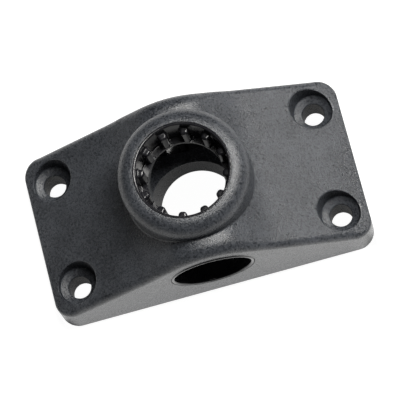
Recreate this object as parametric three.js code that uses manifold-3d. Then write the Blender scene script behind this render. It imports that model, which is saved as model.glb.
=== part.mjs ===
// Stanchion base for a boat: a moulded nylon plate whose two ramps climb to a hump in the middle.
// A toothed socket opens upwards through the collar on the hump, and a second socket crosses it from back to
// front, so the same base holds a post on a deck or on a wall. Liners in the three socket mouths are
// separate pieces. Millimetres, +Z up, +X along the plate, +Y towards the back, origin under the middle.

import * as THREE from 'three';
import { mergeVertices } from 'three/addons/utils/BufferGeometryUtils.js';
import Module from 'manifold-3d';

const wasm = await Module();
wasm.setup();

// Plate and hump
const LENGTH = 102.6;
const WIDTH = 53.2;
const HEIGHT = 50.6;
const CORNER_RADIUS = 6;
const END_HEIGHT = 12.7;
const RAMP_ANGLE = THREE.MathUtils.degToRad(31.5);
const HUMP_TOP = 43.2;
const HUMP_RADIUS = 16.6;
const FLANK_ANGLE = THREE.MathUtils.degToRad(38.6);
const EDGE_ROUND = 2.3;
const END_ROUND = 2.5;

// Collar round the upper mouth
const COLLAR_RADIUS = 20.3;
const COLLAR_ROUND = 4.2;
const COLLAR_FOOT_ROUND = 2;

// Sockets: the plain bores, and the toothed liners in their mouths
const BORE_RADIUS = 12.6;
const SIDE_BORE_Z = 24;
const MOUTH_RADIUS = 14.1;
const LINER_RECESS = 0.15;
const TOOTH_COUNT = 12;
const TOOTH_TIP_RADIUS = 11.9;
const TOOTH_ROOT_WIDTH = 3.0;
const TOOTH_TIP_WIDTH = 2.2;
const TOOTH_INSET = 3.5;
const LINER_RADIUS = 14.9;
const DECK_LINER_BOTTOM = 36.6;
const DECK_LINER_LEDGE = 1.4;
const LEDGE_BORE_RADIUS = 11.8;
const SIDE_LINER_INNER_Y = 16.6;
const GAP = 0.3;

// Plain bush in the front mouth of the side bore
const BUSH_RADIUS = 13.2;
const BUSH_BORE_RADIUS = 12.1;
const BUSH_LENGTH = 8;
const BUSH_RECESS = 0.2;

// Screw holes
const SCREW_SPACING_X = 85;
const SCREW_SPACING_Y = 34;
const SCREW_RADIUS = 3.5;
const COUNTERBORE_RADIUS = 6.2;
const COUNTERBORE_FLOOR = 12.2;

// Pockets that core out the underside: [inner x, outer x, half width along y]
const POCKETS = [
  [19.5, 28.5, 21.5],
  [31, 39.5, 7.5],
  [42, 46.5, 7.5],
];
const POCKET_ROOF = 4.5;
const POCKET_CORNER = 2;

const ROUND_SEGMENTS = 48;
const OVERSHOOT = 2;

const NYLON = { color: 0x2f3135, roughness: 0.62, metalness: 0 };
const LINER = { color: 0x15161a, roughness: 0.28, metalness: 0 };

function rampHeight(x) {
  return END_HEIGHT + (LENGTH / 2 - Math.abs(x)) * Math.tan(RAMP_ANGLE);
}

function solid(geometry) {
  const bare = geometry.clone();
  bare.deleteAttribute('normal');
  bare.deleteAttribute('uv');
  const merged = mergeVertices(bare, 1e-4);
  const mesh = new wasm.Mesh({
    numProp: 3,
    vertProperties: merged.attributes.position.array,
    triVerts: Uint32Array.from(merged.index.array),
  });
  return new wasm.Manifold(mesh);
}

function geometryOf(manifold) {
  const { vertProperties, triVerts } = manifold.getMesh();
  const geometry = new THREE.BufferGeometry();
  geometry.setAttribute('position', new THREE.BufferAttribute(vertProperties, 3));
  geometry.setIndex(new THREE.BufferAttribute(triVerts, 1));
  geometry.computeVertexNormals();
  return geometry;
}

function named(name, manifold, finish) {
  const mesh = new THREE.Mesh(geometryOf(manifold), new THREE.MeshStandardMaterial(finish));
  mesh.name = name;
  return mesh;
}

// A cylinder standing on the Z axis between two heights
function postAlongZ(radius, bottom, top) {
  const geometry = new THREE.CylinderGeometry(radius, radius, top - bottom, ROUND_SEGMENTS);
  geometry.rotateX(Math.PI / 2);
  geometry.translate(0, 0, (bottom + top) / 2);
  return geometry;
}

// A cylinder on the side bore's axis between two places along Y
function postAlongY(radius, front, back) {
  const geometry = new THREE.CylinderGeometry(radius, radius, back - front, ROUND_SEGMENTS);
  geometry.translate(0, (front + back) / 2, SIDE_BORE_Z);
  return geometry;
}

// A shape drawn in X and Z, extruded across Y and centred on y = 0
function extrudeAcross(shape, width, round) {
  const geometry = new THREE.ExtrudeGeometry(shape, {
    depth: width - 2 * round,
    curveSegments: 6,
    bevelEnabled: round > 0,
    bevelThickness: round,
    bevelSize: round,
    bevelOffset: -round,
    bevelSegments: 3,
  });
  geometry.rotateX(Math.PI / 2);
  geometry.translate(0, width / 2 - round, 0);
  return geometry;
}

function roundedRectangle(length, width, radius) {
  const x = length / 2 - radius;
  const y = width / 2 - radius;
  const shape = new THREE.Shape();
  shape.absarc(x, y, radius, 0, Math.PI / 2);
  shape.absarc(-x, y, radius, Math.PI / 2, Math.PI);
  shape.absarc(-x, -y, radius, Math.PI, 1.5 * Math.PI);
  shape.absarc(x, -y, radius, 1.5 * Math.PI, 2 * Math.PI);
  return shape;
}

// Side view: rounded ends, two ramps, two steeper flanks and the round top of the hump
function sideOutline() {
  const archCentre = HUMP_TOP - HUMP_RADIUS;
  const flankX = HUMP_RADIUS * Math.sin(FLANK_ANGLE);
  const flankZ = archCentre + HUMP_RADIUS * Math.cos(FLANK_ANGLE);
  const rampSlope = Math.tan(RAMP_ANGLE);
  const flankSlope = Math.tan(FLANK_ANGLE);
  const kinkX = (flankZ + flankX * flankSlope - rampHeight(0)) / (flankSlope - rampSlope);
  const endX = LENGTH / 2 - END_ROUND;
  const endZ = rampHeight(endX) - END_ROUND / Math.cos(RAMP_ANGLE);
  const shape = new THREE.Shape();
  shape.moveTo(-LENGTH / 2, -OVERSHOOT - EDGE_ROUND);
  shape.lineTo(LENGTH / 2, -OVERSHOOT - EDGE_ROUND);
  shape.absarc(endX, endZ, END_ROUND, 0, Math.PI / 2 - RAMP_ANGLE);
  shape.lineTo(kinkX, rampHeight(kinkX));
  shape.absarc(0, archCentre, HUMP_RADIUS, Math.PI / 2 - FLANK_ANGLE, Math.PI / 2 + FLANK_ANGLE);
  shape.lineTo(-kinkX, rampHeight(kinkX));
  shape.absarc(-endX, endZ, END_ROUND, Math.PI / 2 + RAMP_ANGLE, Math.PI);
  return shape;
}

// Rounded top edges come from the bevel of the side view, and round corners from the plan
function plateAndHump() {
  const side = solid(extrudeAcross(sideOutline(), WIDTH, EDGE_ROUND));
  const plan = new THREE.ExtrudeGeometry(roundedRectangle(LENGTH, WIDTH, CORNER_RADIUS), {
    depth: HEIGHT,
    curveSegments: 6,
    bevelEnabled: false,
  });
  return side.intersect(solid(plan));
}

// The collar is turned, with a rounded top and a foot that flares into the ramps
function collar() {
  const innerRadius = BORE_RADIUS / 2;
  const bottom = SIDE_BORE_Z;
  const footX = COLLAR_RADIUS + COLLAR_FOOT_ROUND;
  const footZ = rampHeight(footX) + COLLAR_FOOT_ROUND / Math.cos(RAMP_ANGLE);
  const outline = new THREE.Path();
  outline.moveTo(innerRadius, bottom);
  outline.lineTo(footX - COLLAR_FOOT_ROUND * Math.sin(RAMP_ANGLE), bottom);
  outline.absarc(footX, footZ, COLLAR_FOOT_ROUND, 1.5 * Math.PI - RAMP_ANGLE, Math.PI, true);
  const crownX = COLLAR_RADIUS - COLLAR_ROUND;
  outline.absarc(crownX, HEIGHT - COLLAR_ROUND, COLLAR_ROUND, 0, Math.PI / 2);
  outline.lineTo(innerRadius, HEIGHT);
  outline.lineTo(innerRadius, bottom);
  const geometry = new THREE.LatheGeometry(outline.getPoints(4), ROUND_SEGMENTS);
  geometry.rotateX(Math.PI / 2);
  return solid(geometry);
}

function screwHoles() {
  const holes = [];
  for (const x of [-SCREW_SPACING_X / 2, SCREW_SPACING_X / 2]) {
    for (const y of [-SCREW_SPACING_Y / 2, SCREW_SPACING_Y / 2]) {
      const bore = postAlongZ(SCREW_RADIUS, -OVERSHOOT, HEIGHT);
      const counterbore = postAlongZ(COUNTERBORE_RADIUS, COUNTERBORE_FLOOR, HEIGHT);
      const hole = solid(bore).add(solid(counterbore));
      holes.push(hole.translate([x, y, 0]));
    }
  }
  return wasm.Manifold.union(holes);
}

// One pocket on each side of the middle, with a roof that follows the ramp
function pocketPair([innerX, outerX, halfWidth]) {
  const roof = POCKET_ROOF / Math.cos(RAMP_ANGLE);
  const shape = new THREE.Shape();
  shape.moveTo(innerX, -OVERSHOOT);
  shape.lineTo(outerX, -OVERSHOOT);
  shape.lineTo(outerX, rampHeight(outerX) - roof);
  shape.lineTo(innerX, rampHeight(innerX) - roof);
  const right = solid(extrudeAcross(shape, 2 * halfWidth, 0));
  const planShape = roundedRectangle(outerX - innerX, 2 * halfWidth, POCKET_CORNER);
  const plan = new THREE.ExtrudeGeometry(planShape, { depth: HEIGHT, curveSegments: 2, bevelEnabled: false });
  plan.translate((innerX + outerX) / 2, 0, -OVERSHOOT);
  const pocket = right.intersect(solid(plan));
  return pocket.add(pocket.rotate([0, 0, 180]));
}

function baseBody() {
  const deckSeat = DECK_LINER_BOTTOM - GAP;
  const sideSeat = SIDE_LINER_INNER_Y - GAP;
  const bushSeat = -WIDTH / 2 + BUSH_RECESS + BUSH_LENGTH + GAP;
  let body = plateAndHump().add(collar());
  body = body.subtract(solid(postAlongZ(BORE_RADIUS, -OVERSHOOT, HEIGHT)));
  body = body.subtract(solid(postAlongZ(LINER_RADIUS + GAP, deckSeat, HEIGHT + OVERSHOOT)));
  body = body.subtract(solid(postAlongY(BORE_RADIUS, -WIDTH, WIDTH)));
  body = body.subtract(solid(postAlongY(LINER_RADIUS + GAP, sideSeat, WIDTH)));
  body = body.subtract(solid(postAlongY(BUSH_RADIUS + GAP, -WIDTH, bushSeat)));
  body = body.subtract(screwHoles());
  for (const pocket of POCKETS) {
    body = body.subtract(pocketPair(pocket));
  }
  return body;
}

// The hollow of a toothed socket, standing on the Z axis: a round bore with a notch left out for each tooth, and
// plain for the last stretch below its mouth
function toothedHollow(bottom, mouth, firstTooth) {
  const top = mouth - TOOTH_INSET;
  const pitch = (2 * Math.PI) / TOOTH_COUNT;
  const root = TOOTH_ROOT_WIDTH / 2 / MOUTH_RADIUS;
  const tip = TOOTH_TIP_WIDTH / 2 / TOOTH_TIP_RADIUS;
  const outline = new THREE.Shape();
  for (let k = 0; k < TOOTH_COUNT; k += 1) {
    const middle = firstTooth + k * pitch;
    outline.absarc(0, 0, TOOTH_TIP_RADIUS, middle - tip, middle + tip);
    outline.absarc(0, 0, MOUTH_RADIUS, middle + root, middle + pitch - root);
  }
  const geometry = new THREE.ExtrudeGeometry(outline, {
    depth: top - bottom,
    curveSegments: 2,
    bevelEnabled: false,
  });
  geometry.translate(0, 0, bottom);
  return solid(geometry).add(solid(postAlongZ(MOUTH_RADIUS, top - 0.01, mouth + OVERSHOOT)));
}

// The teeth of the upper liner stop at a plain ledge at its lower end
function deckGearRing() {
  const top = HEIGHT - LINER_RECESS;
  const ledgeTop = DECK_LINER_BOTTOM + DECK_LINER_LEDGE;
  const ring = solid(postAlongZ(LINER_RADIUS, DECK_LINER_BOTTOM, top));
  const bore = solid(postAlongZ(LEDGE_BORE_RADIUS, 0, HEIGHT));
  return ring.subtract(bore).subtract(toothedHollow(ledgeTop, top, Math.PI / TOOTH_COUNT));
}

// The liner of the side bore lies along Y, toothed from its inner end, with one tooth at the bottom
function sideGearRing() {
  const length = WIDTH / 2 - LINER_RECESS - SIDE_LINER_INNER_Y;
  const ring = solid(postAlongZ(LINER_RADIUS, 0, length));
  const toothed = ring.subtract(toothedHollow(-OVERSHOOT, length, 0));
  return toothed.rotate([-90, 0, 0]).translate([0, SIDE_LINER_INNER_Y, SIDE_BORE_Z]);
}

function frontBoreBush() {
  const front = -WIDTH / 2 + BUSH_RECESS;
  const back = front + BUSH_LENGTH;
  const outside = solid(postAlongY(BUSH_RADIUS, front, back));
  return outside.subtract(solid(postAlongY(BUSH_BORE_RADIUS, -WIDTH, WIDTH)));
}

const stanchionBase = new THREE.Group();
stanchionBase.add(named('base_body', baseBody(), NYLON));
stanchionBase.add(named('deck_gear_ring', deckGearRing(), LINER));
stanchionBase.add(named('side_gear_ring', sideGearRing(), LINER));
stanchionBase.add(named('front_bore_bush', frontBoreBush(), LINER));

export default stanchionBase;
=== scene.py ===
"""Stanchion base: a moulded nylon body, two toothed liners and a plain bush, on a pale studio floor.

Each piece is a solid given by its distance in millimetres from its own surface, negative inside. contour()
turns that into a mesh, with vertices on its creases. The +Z axis points up and +Y to the back.
"""

import math

import bpy
import numpy as np
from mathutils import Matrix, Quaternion, Vector


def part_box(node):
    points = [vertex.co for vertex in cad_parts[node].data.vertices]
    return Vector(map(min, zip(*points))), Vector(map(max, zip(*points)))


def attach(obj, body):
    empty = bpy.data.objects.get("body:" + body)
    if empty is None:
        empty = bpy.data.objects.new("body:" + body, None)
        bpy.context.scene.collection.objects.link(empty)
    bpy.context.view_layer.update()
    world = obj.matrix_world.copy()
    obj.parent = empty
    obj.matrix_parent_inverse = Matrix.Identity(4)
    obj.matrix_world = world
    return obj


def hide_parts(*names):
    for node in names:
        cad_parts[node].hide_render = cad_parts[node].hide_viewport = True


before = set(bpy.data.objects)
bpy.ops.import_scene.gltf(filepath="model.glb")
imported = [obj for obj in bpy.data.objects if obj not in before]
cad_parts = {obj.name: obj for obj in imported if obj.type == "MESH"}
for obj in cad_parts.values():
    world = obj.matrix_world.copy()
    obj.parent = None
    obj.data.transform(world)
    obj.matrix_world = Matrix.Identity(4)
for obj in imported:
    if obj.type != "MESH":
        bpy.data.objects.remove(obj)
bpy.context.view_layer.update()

MM = 0.001

# Plate and hump
CORNER_RADIUS = 6.0
END_HEIGHT = 12.7
RAMP_ANGLE = math.radians(31.5)
HUMP_TOP = 43.2
HUMP_RADIUS = 16.6
FLANK_ANGLE = math.radians(38.6)
FLANK_BLEND = 0.4
EDGE_ROUND = 2.3
HUMP_EDGE_ROUND = 4.6
HUMP_EDGE_FROM = 34.0
END_ROUND = 0.9
DRAFT = 0.014
FOOT_ROUND = 0.3

# Collar
COLLAR_RADIUS = 20.1
COLLAR_ROUND = 5.3
COLLAR_FILLET = 0.6

# Sockets
BORE_RADIUS = 12.6
MOUTH_RADIUS = 14.1
MOUTH_ROUND = 0.08
SEAT_GAP = 0.06
BORE_ROUND = 0.3

# Toothed liners, with the deck liner's ledge under its teeth
TOOTH_COUNT = 12
TOOTH_TIP_RADIUS = 11.9
TOOTH_TIP_WIDTH = 2.2
TOOTH_ROOT_WIDTH = 3.0
TOOTH_ROUND = 0.8
TOOTH_INSET = 3.5
TOOTH_FILLET = 0.5
LEDGE_HEIGHT = 1.4
LEDGE_RADIUS = 11.9
RIM_ROUND = 0.5
LINER_EDGE_ROUND = 0.1

# Plain bush in the front mouth
BUSH_WALL = 1.1
BUSH_RIM_ROUND = 0.5
BUSH_END_ROUND = 0.3

# Screw holes, whose seats dip towards the hole
SCREW_X = 42.4
SCREW_Y = 16.95
SCREW_RADIUS = 3.5
SEAT_RADIUS = 6.1
SEAT_TAPER = 0.07
SEAT_EDGE = 12.5
SEAT_DISH = 0.5
SEAT_FILLET = 0.3
SCREW_ROUND = 0.3

# Pockets under the plate: inner x, outer x, half width along y
POCKETS = ((19.5, 28.5, 21.5), (31.0, 39.5, 7.5), (42.0, 46.5, 7.5))
POCKET_ROOF = 4.5
POCKET_CORNER = 2.0
POCKET_ROUND = 1.0

# Spacing of the meshing lattice, and its margin round a piece in steps
BODY_STEP = 0.5
LINER_STEP = 0.3
LATTICE_MARGIN = 2.3

# Floor: its glow in the open and in the object's shade, its drop below the object, and how far it reaches
FLOOR_GLOW = 0.95
SHADED_GLOW = 0.12
FLOOR_DROP = 0.2
FLOOR_REACH = 130.0
BACKDROP_REACH = 6000.0


def node_box(name):
    """Low corner, high corner and centre of a CAD node in millimetres."""
    low, high = (np.array(corner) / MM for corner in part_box(name))
    return low, high, (low + high) / 2


BODY_LOW, BODY_HIGH, _ = node_box("base_body")
LENGTH, WIDTH, HEIGHT = BODY_HIGH - BODY_LOW
DECK_LOW, DECK_HIGH, _ = node_box("deck_gear_ring")
SIDE_LOW, SIDE_HIGH, SIDE_CENTRE = node_box("side_gear_ring")
BUSH_LOW, BUSH_HIGH, _ = node_box("front_bore_bush")
LINER_RADIUS = (DECK_HIGH[0] - DECK_LOW[0]) / 2
BUSH_RADIUS = (BUSH_HIGH[0] - BUSH_LOW[0]) / 2
BUSH_BORE_RADIUS = BUSH_RADIUS - BUSH_WALL
SIDE_BORE_Z = SIDE_CENTRE[2]
RAMP_OFFSET = LENGTH / 2 * math.sin(RAMP_ANGLE) + END_HEIGHT * math.cos(RAMP_ANGLE)


def meet(a, b, radius, cosine=0.0):
    """Intersection of two solids with a round edge. cosine is that of the angle between their normals."""
    u = a + radius
    v = b + radius
    along_a = u - cosine * v
    along_b = v - cosine * u
    arc = np.sqrt(np.maximum(u * along_a + v * along_b, 0) / (1 - cosine**2)) - radius
    return np.where((along_a > 0) & (along_b > 0), arc, np.maximum(a, b))


def join(a, b, radius, cosine=0.0):
    """Union of two solids, with a fillet of that radius between them."""
    return -meet(-a, -b, radius, cosine)


def blend(a, b, width):
    """Union of two nearly parallel surfaces that flow into each other."""
    share = np.maximum(width - np.abs(a - b), 0) / width
    return np.minimum(a, b) - share**2 * width / 4


def slope(x, z, angle, offset):
    """Distance from a plane that falls away from the middle on both sides."""
    return np.abs(x) * math.sin(angle) + z * math.cos(angle) - offset


def top_surface(x, z):
    """The ramps, and the hump between them."""
    crown_foot = HUMP_TOP - HUMP_RADIUS * (1 - math.cos(FLANK_ANGLE))
    ramps = np.maximum(slope(x, z, RAMP_ANGLE, RAMP_OFFSET), z - crown_foot)
    rise = z - (HUMP_TOP - HUMP_RADIUS)
    flank = slope(x, rise, FLANK_ANGLE, 0)
    on_crown = rise * math.sin(FLANK_ANGLE) > np.abs(x) * math.cos(FLANK_ANGLE)
    hump = np.where(on_crown, np.hypot(x, rise), flank) - HUMP_RADIUS
    return blend(ramps, hump, FLANK_BLEND)


def rounded_box(u, v, half_u, half_v, radius):
    """A rectangle with round corners, and the share of its normal that points along u."""
    du = np.abs(u) - half_u + radius
    dv = np.abs(v) - half_v + radius
    out_u = np.maximum(du, 0)
    out_v = np.maximum(dv, 0)
    corner = np.hypot(out_u, out_v)
    share = np.where(corner > 0, out_u / np.maximum(corner, 1e-9), du > dv)
    return corner + np.minimum(np.maximum(du, dv), 0) - radius, share


def screw_hole(x, y, z):
    """A through hole and its dished counterbore, repeated at the four corners."""
    radial = np.hypot(np.abs(x) - SCREW_X, np.abs(y) - SCREW_Y)
    seat = SEAT_EDGE - SEAT_DISH * np.maximum(SEAT_RADIUS - radial, 0)
    counterbore = meet(radial - SEAT_RADIUS - SEAT_TAPER * (z - SEAT_EDGE), seat - z, SEAT_FILLET)
    return join(radial - SCREW_RADIUS, counterbore, SCREW_ROUND)


def pocket(x, y, z, inner, outer, half_width):
    """A pocket on each side of the middle, under a roof that follows the ramp."""
    from_middle = np.abs(x) - (inner + outer) / 2
    plan, _ = rounded_box(from_middle, y, (outer - inner) / 2, half_width, POCKET_CORNER)
    return meet(plan, slope(x, z, RAMP_ANGLE, RAMP_OFFSET - POCKET_ROOF), POCKET_ROUND)


def sockets(x, y, z):
    """The two crossing bores, with the seats of their liners."""
    upright = np.hypot(x, y)
    crossing = np.hypot(x, z - SIDE_BORE_Z)
    deck_seat = DECK_LOW[2] - SEAT_GAP - z
    side_seat = SIDE_LOW[1] - SEAT_GAP - y
    shapes = [
        upright - BORE_RADIUS,
        np.maximum(upright - LINER_RADIUS - SEAT_GAP, deck_seat),
        crossing - BORE_RADIUS,
        np.maximum(crossing - LINER_RADIUS - SEAT_GAP, side_seat),
        np.maximum(crossing - BUSH_RADIUS - SEAT_GAP, y - BUSH_HIGH[1] - SEAT_GAP),
    ]
    return np.minimum.reduce(shapes)


def body_solid(x, y, z):
    """The moulding: ramps, hump and collar on a drafted plan, less its pockets, screw holes and sockets."""
    upright = np.hypot(x, y)
    collar = meet(upright - COLLAR_RADIUS, z - HEIGHT, COLLAR_ROUND)
    lean = math.sin(RAMP_ANGLE) * np.abs(x) / np.maximum(upright, 1.0)
    top = join(top_surface(x, z), collar, COLLAR_FILLET, lean)
    plan, end_share = rounded_box(x, y, LENGTH / 2 - DRAFT * z, WIDTH / 2 - DRAFT * z, CORNER_RADIUS)
    rise = np.clip((z - HUMP_EDGE_FROM) / (HUMP_TOP - HUMP_EDGE_FROM), 0, 1)
    side_round = EDGE_ROUND + (HUMP_EDGE_ROUND - EDGE_ROUND) * rise
    edge = side_round + (END_ROUND - side_round) * end_share
    solid = meet(top, plan, edge, math.sin(RAMP_ANGLE) * end_share)
    solid = meet(solid, -z, FOOT_ROUND)
    for sizes in POCKETS:
        solid = meet(solid, -pocket(x, y, z, *sizes), BORE_ROUND)
    solid = meet(solid, -screw_hole(x, y, z), BORE_ROUND)
    return meet(solid, -sockets(x, y, z), MOUTH_ROUND)


def toothed_liner(x, y, z, bottom, top, first_tooth, ledge_top):
    """A toothed ring round the Z axis, with a plain ledge from its bottom to ledge_top."""
    radial = np.hypot(x, y)
    pitch = 2 * math.pi / TOOTH_COUNT
    turn = (np.arctan2(y, x) - first_tooth + pitch / 2) % pitch - pitch / 2
    out = radial * np.cos(turn)
    across = np.abs(radial * np.sin(turn))
    taper = (TOOTH_ROOT_WIDTH - TOOTH_TIP_WIDTH) / 2 / (MOUTH_RADIUS - TOOTH_TIP_RADIUS)
    side = across - TOOTH_TIP_WIDTH / 2 - (out - TOOTH_TIP_RADIUS) * taper
    tooth = meet(side, TOOTH_TIP_RADIUS - out, TOOTH_ROUND)
    tooth = meet(tooth, z - top + TOOTH_INSET, TOOTH_ROUND)
    ring = join(MOUTH_RADIUS - radial, tooth, TOOTH_FILLET)
    ledge = np.maximum(LEDGE_RADIUS - radial, z - ledge_top)
    ring = join(ring, ledge, TOOTH_FILLET / 2)
    ring = meet(ring, z - top, RIM_ROUND)
    return meet(ring, np.maximum(radial - LINER_RADIUS, bottom - z), LINER_EDGE_ROUND)


def deck_liner(x, y, z):
    bottom = DECK_LOW[2]
    return toothed_liner(x, y, z, bottom, DECK_HIGH[2], math.pi / TOOTH_COUNT, bottom + LEDGE_HEIGHT)


def side_liner(x, y, z):
    return toothed_liner(x, SIDE_BORE_Z - z, y, SIDE_LOW[1], SIDE_HIGH[1], math.pi / 2, 0)


def bush_solid(x, y, z):
    radial = np.hypot(x, z - SIDE_BORE_Z)
    wall = np.maximum(BUSH_BORE_RADIUS - radial, radial - BUSH_RADIUS)
    return meet(meet(wall, BUSH_LOW[1] - y, BUSH_RIM_ROUND), y - BUSH_HIGH[1], BUSH_END_ROUND)


def gradient(solid, points, reach=0.02):
    """Unit normals of a solid's distance at some points."""
    normal = np.empty_like(points)
    for axis in range(3):
        step = np.zeros(3)
        step[axis] = reach
        normal[:, axis] = solid(*(points + step).T) - solid(*(points - step).T)
    return normal / np.maximum(np.linalg.norm(normal, axis=1, keepdims=True), 1e-12)


def crossings(solid, low, step, value, axis):
    """Where the surface crosses lattice edges along one axis: their lower ends, the points, and which way."""
    first = tuple(slice(None, -1) if k == axis else slice(None) for k in range(3))
    second = tuple(slice(1, None) if k == axis else slice(None) for k in range(3))
    at = np.argwhere((value[first] < 0) != (value[second] < 0))
    outward = value[first][tuple(at.T)] < 0
    ends = [low + at * step, low + at * step]
    ends[1][:, axis] += step
    inner = np.where(outward[:, None], ends[0], ends[1])
    outer = np.where(outward[:, None], ends[1], ends[0])
    for _ in range(10):
        middle = (inner + outer) / 2
        within = (solid(*middle.T) < 0)[:, None]
        inner = np.where(within, middle, inner)
        outer = np.where(within, outer, middle)
    return at, (inner + outer) / 2, outward


def contour(solid, low, high, step):
    """Vertices, quads and corner normals of a solid's surface, by dual contouring."""
    margin = LATTICE_MARGIN * step
    low = np.asarray(low, float) - margin
    axes = [np.arange(a, b + margin, step) for a, b in zip(low, high)]
    grid = np.meshgrid(*axes, indexing="ij")
    value = solid(*grid)
    shape = np.array(value.shape)
    cells, points, quads = [], [], []
    for axis in range(3):
        at, where, outward = crossings(solid, low, step, value, axis)
        ring = []
        for du, dv in ((0, 0), (-1, 0), (-1, -1), (0, -1)):
            shift = np.zeros(3, int)
            shift[(axis + 1) % 3] = du
            shift[(axis + 2) % 3] = dv
            ring.append(np.ravel_multi_index((at + shift).T, shape))
        ring = np.stack(ring, 1)
        quads.append(np.where(outward[:, None], ring, ring[:, ::-1]))
        cells.append(ring.ravel())
        points.append(np.repeat(where, 4, axis=0))
    quads = np.concatenate(quads)
    used, cell = np.unique(np.concatenate(cells), return_inverse=True)
    points = np.concatenate(points)
    vertices = crease_points(solid, points, cell, len(used), step)
    quads = np.searchsorted(used, quads)
    corners = vertices[quads]
    middle = corners.mean(1, keepdims=True)
    probes = (corners * 0.65 + middle * 0.35).reshape(-1, 3)
    return vertices, quads, gradient(solid, probes)


def crease_points(solid, points, cell, count, step):
    """For each cell, the point nearest to all the tangent planes that cross it."""
    distinct, back = np.unique(points, axis=0, return_inverse=True)
    normal = gradient(solid, distinct)[back.ravel()]

    def total(weights):
        return np.bincount(cell, weights, count)

    number = total(np.ones(len(cell)))
    mean = np.stack([total(points[:, k]) for k in range(3)], 1) / number[:, None]
    offset = ((points - mean[cell]) * normal).sum(1)
    matrix = np.empty((count, 3, 3))
    right = np.empty((count, 3))
    for i in range(3):
        right[:, i] = total(normal[:, i] * offset)
        for j in range(3):
            matrix[:, i, j] = total(normal[:, i] * normal[:, j])
    matrix += 0.02 * number[:, None, None] * np.eye(3)
    move = np.linalg.solve(matrix, right[:, :, None])[:, :, 0]
    vertices = mean + np.clip(move, -0.8 * step, 0.8 * step)
    for _ in range(2):
        distance = solid(*vertices.T)[:, None]
        vertices -= distance * gradient(solid, vertices)
    return vertices


def make_piece(name, node, slot_name, material, solid, low, high, step):
    """Meshes a solid, gives it its finish, and lets it stand for its CAD node."""
    vertices, quads, normals = contour(solid, low, high, step)
    mesh = bpy.data.meshes.new(name)
    mesh.from_pydata((vertices * MM).tolist(), [], quads.tolist())
    mesh.shade_smooth()
    mesh.normals_split_custom_set(normals.tolist())
    mesh.materials.append(material)
    piece = bpy.data.objects.new(name, mesh)
    bpy.context.scene.collection.objects.link(piece)
    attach(piece, "root")
    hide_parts(node)
    return piece


def add_node(tree, kind, inputs=None, **settings):
    """A shader node with its settings, and its inputs given as values or linked from sockets."""
    node = tree.nodes.new(kind)
    for key, value in settings.items():
        setattr(node, key, value)
    for key, value in (inputs or {}).items():
        if isinstance(value, bpy.types.NodeSocket):
            tree.links.new(value, node.inputs[key])
        else:
            node.inputs[key].default_value = value
    return node


def new_material(name):
    material = bpy.data.materials.new(name)
    material.use_nodes = True
    tree = material.node_tree
    return material, tree, tree.nodes["Principled BSDF"]


def noise(tree, place, size, detail=3.0, roughness=0.6):
    """Noise whose features are about that many millimetres across."""
    inputs = {"Vector": place, "Scale": 1 / (size * MM), "Detail": detail, "Roughness": roughness}
    return add_node(tree, "ShaderNodeTexNoise", inputs).outputs["Fac"]


def remap(tree, value, low, high, new_low, new_high):
    inputs = {"Value": value, "From Min": low, "From Max": high, "To Min": new_low, "To Max": new_high}
    return add_node(tree, "ShaderNodeMapRange", inputs).outputs["Result"]


def math_node(tree, operation, a, b):
    return add_node(tree, "ShaderNodeMath", {0: a, 1: b}, operation=operation).outputs[0]


def ramp_colour(tree, value, dark, light):
    node = add_node(tree, "ShaderNodeValToRGB", {"Fac": value})
    node.color_ramp.elements[0].color = (*dark, 1)
    node.color_ramp.elements[1].color = (*light, 1)
    return node.outputs["Color"]


def nylon():
    """Satin glass-filled nylon: charcoal, with a fine mottled grain."""
    material, tree, shader = new_material("nylon_charcoal")
    place = add_node(tree, "ShaderNodeTexCoord").outputs["Object"]
    grain = noise(tree, place, 0.7, 4.0, 0.75)
    cloud = noise(tree, place, 9.0, 2.0, 0.5)
    speck = noise(tree, place, 0.35, 2.0, 0.5)
    grain_share = math_node(tree, "MULTIPLY", grain, 0.8)
    cloud_share = math_node(tree, "MULTIPLY", cloud, 0.2)
    mottle = math_node(tree, "ADD", grain_share, cloud_share)
    tone = remap(tree, mottle, 0.4, 0.6, 0.0, 1.0)
    colour = ramp_colour(tree, tone, (0.012, 0.0136, 0.0168), (0.053, 0.0578, 0.0664))
    tree.links.new(colour, shader.inputs["Base Color"])
    tree.links.new(remap(tree, grain, 0.3, 0.7, 0.24, 0.33), shader.inputs["Roughness"])
    fine = add_node(tree, "ShaderNodeBump", {"Height": speck, "Strength": 0.8, "Distance": 0.00006})
    coarse_inputs = {"Height": grain, "Strength": 1.0, "Distance": 0.00014, "Normal": fine.outputs["Normal"]}
    coarse = add_node(tree, "ShaderNodeBump", coarse_inputs)
    tree.links.new(coarse.outputs["Normal"], shader.inputs["Normal"])
    return material


def liner_black():
    """Glossy black nylon with faint flow marks."""
    material, tree, shader = new_material("liner_black")
    place = add_node(tree, "ShaderNodeTexCoord").outputs["Object"]
    flow = noise(tree, place, 2.5, 3.0, 0.6)
    speck = noise(tree, place, 0.4, 2.0, 0.5)
    colour = ramp_colour(tree, flow, (0.006, 0.006, 0.008), (0.014, 0.014, 0.016))
    tree.links.new(colour, shader.inputs["Base Color"])
    tree.links.new(remap(tree, flow, 0.3, 0.7, 0.14, 0.22), shader.inputs["Roughness"])
    shader.inputs["Specular IOR Level"].default_value = 0.35
    bump = add_node(tree, "ShaderNodeBump", {"Height": speck, "Strength": 0.4, "Distance": 0.00003})
    tree.links.new(bump.outputs["Normal"], shader.inputs["Normal"])
    return material


def floor_material(name, glow):
    material, tree, shader = new_material(name)
    shader.inputs["Base Color"].default_value = (0.25, 0.25, 0.25, 1)
    shader.inputs["Roughness"].default_value = 0.9
    shader.inputs["Emission Color"].default_value = (1, 1, 1, 1)
    shader.inputs["Emission Strength"].default_value = glow
    return material


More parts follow.
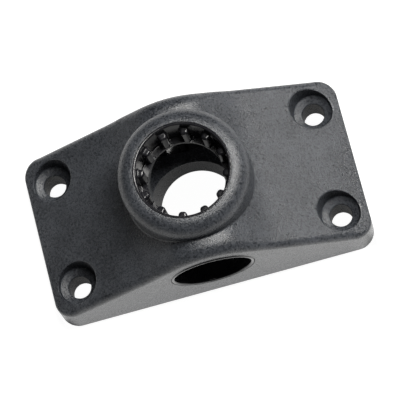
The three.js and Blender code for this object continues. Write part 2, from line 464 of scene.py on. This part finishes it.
def rectangle(half_x, half_y):
    """Corners on the floor, in metres, of a rectangle given in millimetres."""
    corners = [(-half_x, -half_y), (half_x, -half_y), (half_x, half_y), (-half_x, half_y)]
    return [(x * MM, y * MM, -FLOOR_DROP * MM) for x, y in corners]


def add_sheet(name, points, faces, material):
    mesh = bpy.data.meshes.new(name)
    mesh.from_pydata(points, [], faces)
    mesh.materials.append(material)
    sheet = bpy.data.objects.new(name, mesh)
    bpy.context.scene.collection.objects.link(sheet)
    return sheet


def add_floor():
    """A pale floor that glows on the object from near by, dimly from under it, and is a backdrop beyond."""
    bright = floor_material("studio_floor", FLOOR_GLOW)
    dim = floor_material("shaded_floor", SHADED_GLOW)
    under = rectangle(LENGTH / 2, WIDTH / 2)
    near = rectangle(LENGTH / 2 + FLOOR_REACH, WIDTH / 2 + FLOOR_REACH)
    far = rectangle(BACKDROP_REACH, BACKDROP_REACH)
    ring = [(k, (k + 1) % 4, 4 + (k + 1) % 4, 4 + k) for k in range(4)]
    add_sheet("floor", near + under, ring, bright)
    shaded = add_sheet("shaded_floor", under, [(0, 1, 2, 3)], dim)
    shaded.visible_camera = False
    backdrop = add_sheet("backdrop", far + near + under, ring + [(8, 9, 10, 11)], bright)
    backdrop.visible_diffuse = False
    backdrop.visible_glossy = False
    backdrop.visible_transmission = False
    backdrop.visible_shadow = False


def add_area_light(name, direction, distance, across, along, power, colour):
    """A soft light box, off in that direction from the object and facing it, longer along its lean."""
    data = bpy.data.lights.new(name, "AREA")
    data.shape = "RECTANGLE"
    data.size = across
    data.size_y = along
    data.energy = power
    data.color = colour
    light = bpy.data.objects.new(name, data)
    away = Vector(direction).normalized()
    light.location = away * distance
    light.rotation_mode = "QUATERNION"
    light.rotation_quaternion = away.to_track_quat("Z", "Y")
    bpy.context.scene.collection.objects.link(light)


def add_world(strength):
    world = bpy.data.worlds.new("studio")
    world.use_nodes = True
    background = world.node_tree.nodes["Background"]
    background.inputs["Color"].default_value = (1, 1, 1, 1)
    background.inputs["Strength"].default_value = strength
    bpy.context.scene.world = world


def add_camera(target, distance, tilt, turn, roll, lens):
    """Looks at the target from above, tilt from the vertical towards the front and turned towards +X."""
    data = bpy.data.cameras.new("camera")
    data.lens = lens
    data.sensor_width = 36
    data.clip_start = 0.01
    camera = bpy.data.objects.new("camera", data)
    tilt, turn = math.radians(tilt), math.radians(turn)
    back = Vector((math.sin(tilt) * math.sin(turn), -math.sin(tilt) * math.cos(turn), math.cos(tilt)))
    camera.location = Vector(target) + back * distance
    camera.rotation_mode = "QUATERNION"
    camera.rotation_quaternion = back.to_track_quat("Z", "Y") @ Quaternion((0, 0, 1), math.radians(roll))
    bpy.context.scene.collection.objects.link(camera)
    bpy.context.scene.camera = camera


body_finish = nylon()
liner_finish = liner_black()
body_box = (BODY_LOW, BODY_HIGH, BODY_STEP)
deck_box = (DECK_LOW, DECK_HIGH, LINER_STEP)
side_box = (SIDE_LOW, SIDE_HIGH, LINER_STEP)
bush_box = (BUSH_LOW, BUSH_HIGH, LINER_STEP)
make_piece("moulded_body", "base_body", "nylon_charcoal", body_finish, body_solid, *body_box)
make_piece("deck_liner", "deck_gear_ring", "liner_black", liner_finish, deck_liner, *deck_box)
make_piece("side_liner", "side_gear_ring", "liner_black", liner_finish, side_liner, *side_box)
make_piece("front_bush", "front_bore_bush", "liner_black", liner_finish, bush_solid, *bush_box)

add_floor()
add_world(strength=0.04)
key_size = {"distance": 1.2, "across": 0.30, "along": 1.0}
add_area_light("key", (0.48, 0.17, 1.0), power=28, colour=(1.0, 0.985, 0.955), **key_size)
add_camera((0.00043, 0.00298, 0), distance=0.7958, tilt=15.283, turn=10.747, roll=-25.839, lens=224.43)
bpy.context.scene.view_settings.view_transform = "Standard"
